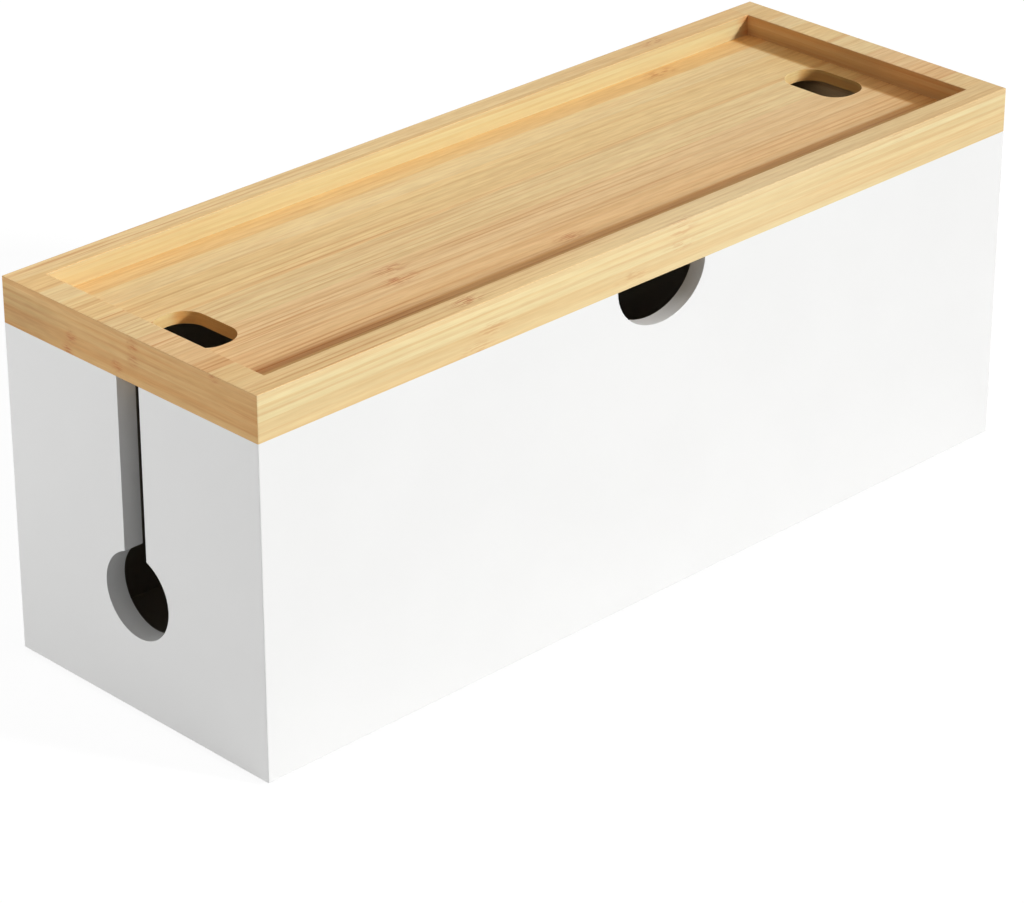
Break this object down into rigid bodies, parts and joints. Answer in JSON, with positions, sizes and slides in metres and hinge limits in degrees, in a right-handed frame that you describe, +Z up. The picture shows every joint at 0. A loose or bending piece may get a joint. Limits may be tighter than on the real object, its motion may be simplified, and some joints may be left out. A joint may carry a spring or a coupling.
{
  "type": "cable management box",
  "caption": "Long open-topped box with a keyhole cable outlet in each end, a notch in the front edge and a lift-off bamboo lid with a shallow tray and two cable slots.",
  "frame": {"origin": "on the floor, under the middle of the box, at the underside of the pads", "axes": "+X to the right along the box's length, +Y to the back, +Z up; the face with the notch is the front and faces -Y"},
  "size_m": [0.4, 0.139, 0.155],
  "materials": {
    "case_paint": "board with satin white paint outside, left bare and brown inside",
    "bamboo": "laminated bamboo with a thin satin varnish",
    "rubber": "matte",
    "steel": "zinc plated"
  },
  "bodies": {
    "case": {"front_panel": "case_paint", "back_panel": "case_paint", "left_end_panel": "case_paint", "right_end_panel": "case_paint", "bottom_panel": "case_paint", "bottom_brads": "steel", "front_left_pad": "rubber", "front_right_pad": "rubber", "back_left_pad": "rubber", "back_right_pad": "rubber"},
    "lid": {"lid_front_rail": "bamboo", "lid_back_rail": "bamboo", "lid_left_rail": "bamboo", "lid_right_rail": "bamboo", "lid_tray_panel": "bamboo", "front_left_biscuit": "bamboo", "front_right_biscuit": "bamboo", "back_left_biscuit": "bamboo", "back_right_biscuit": "bamboo", "lid_left_batten": "bamboo", "lid_right_batten": "bamboo", "batten_screws": "steel"}
  },
  "joints": [
    {"name": "lid_lift", "type": "slide", "parent": "case", "child": "lid", "axis": [0, 0, 1], "range_m": [0, 0.15]}
  ]
}
